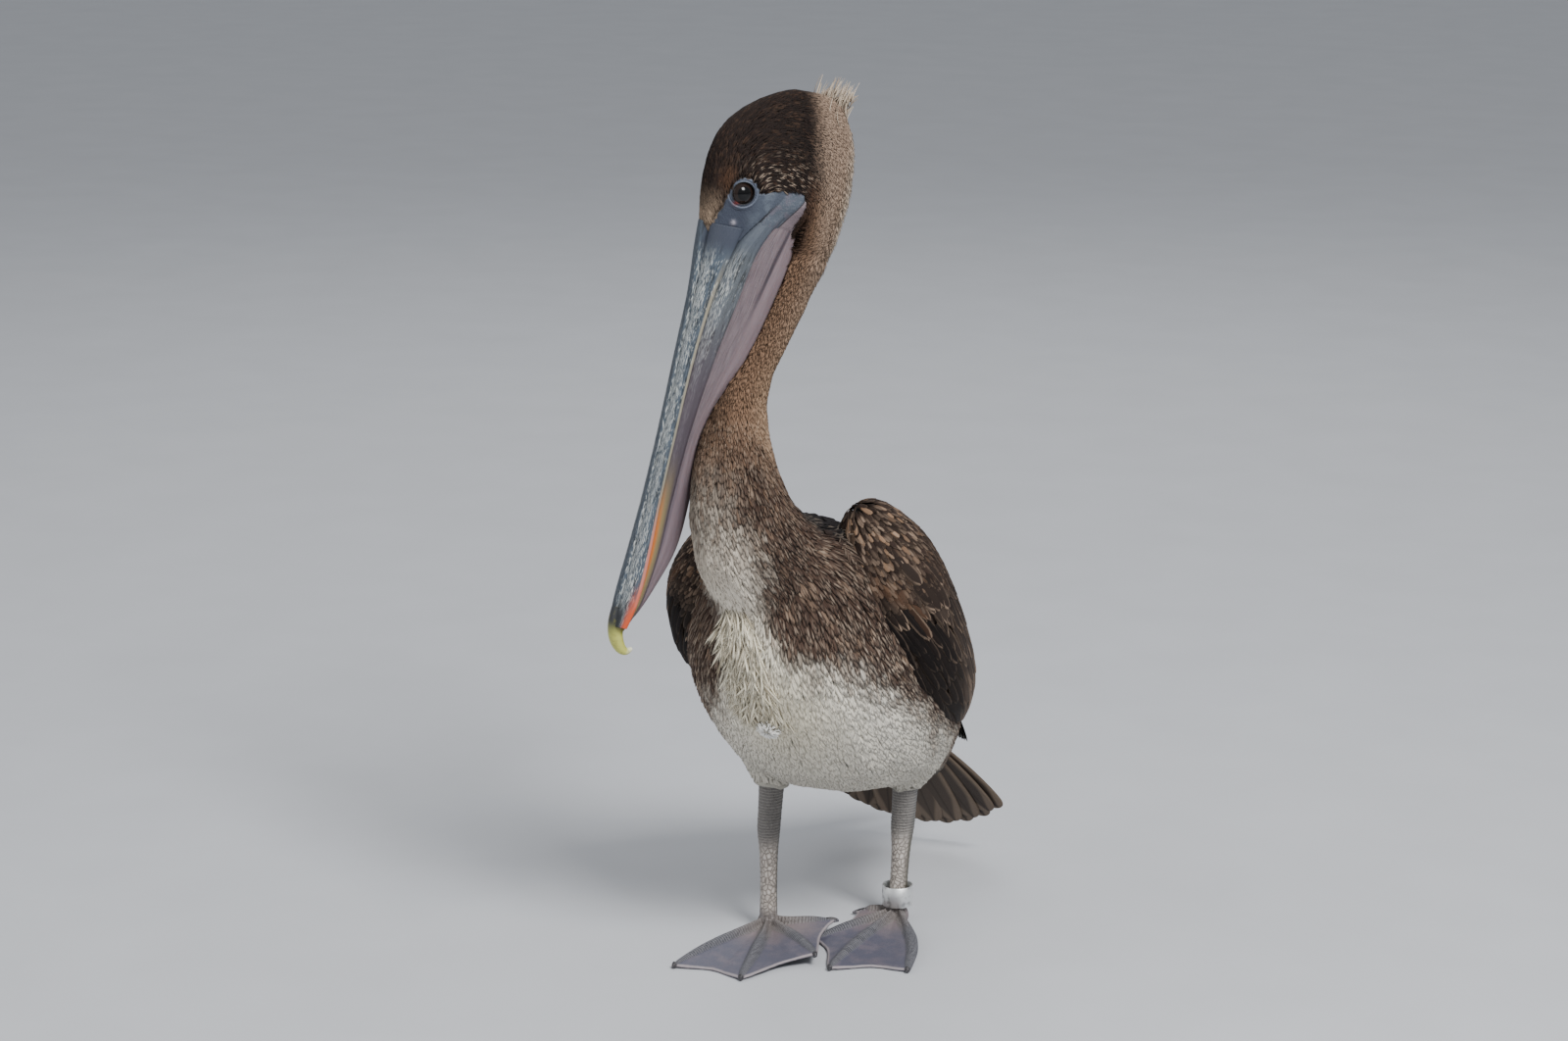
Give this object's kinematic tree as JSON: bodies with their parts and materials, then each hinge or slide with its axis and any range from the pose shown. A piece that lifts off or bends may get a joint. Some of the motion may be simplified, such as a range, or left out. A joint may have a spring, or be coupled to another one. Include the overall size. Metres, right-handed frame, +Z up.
{
  "type": "brown pelican",
  "caption": "Young brown pelican standing still, life size, head turned and bill pointing down, with a ring on one leg.",
  "frame": {"origin": "on the floor, under the middle of the whole bird's bounding box", "axes": "+Z up, the body faces -Y, +X is the bird's own left"},
  "size_m": [0.2436, 0.4426, 0.7045],
  "materials": {
    "breast_feathers": "brown to cream feathers",
    "neck_feathers": "short brown feathers",
    "head_feathers": "short dark brown feathers",
    "crest_feathers": "pale buff feathers",
    "wing_feathers": "dark brown feathers with pale edges",
    "flight_feathers": "blackish brown long feathers",
    "bill_horn": "satin blue-grey horn",
    "nail_horn": "satin yellow-green horn",
    "pouch_skin": "soft mauve-grey skin",
    "eye": "wet and very dark",
    "leg_skin": "scaly grey skin",
    "foot_skin": "slate grey webbed skin",
    "band_metal": "dull bare metal"
  },
  "bodies": {
    "root": {"trunk": "breast_feathers", "thigh_left": "breast_feathers", "thigh_right": "breast_feathers", "neck_lower": "neck_feathers", "neck_upper": "neck_feathers", "head": "head_feathers", "crest": "crest_feathers", "wing_left": "wing_feathers", "wing_right": "wing_feathers", "primaries_left": "flight_feathers", "primaries_right": "flight_feathers", "tail": "flight_feathers", "bill_upper": "bill_horn", "bill_lower": "bill_horn", "bill_nail": "nail_horn", "pouch": "pouch_skin", "eye_left": "eye", "eye_right": "eye", "leg_left": "leg_skin", "leg_right": "leg_skin", "foot_left": "foot_skin", "foot_right": "foot_skin", "leg_band": "band_metal"}
  },
  "joints": []
}
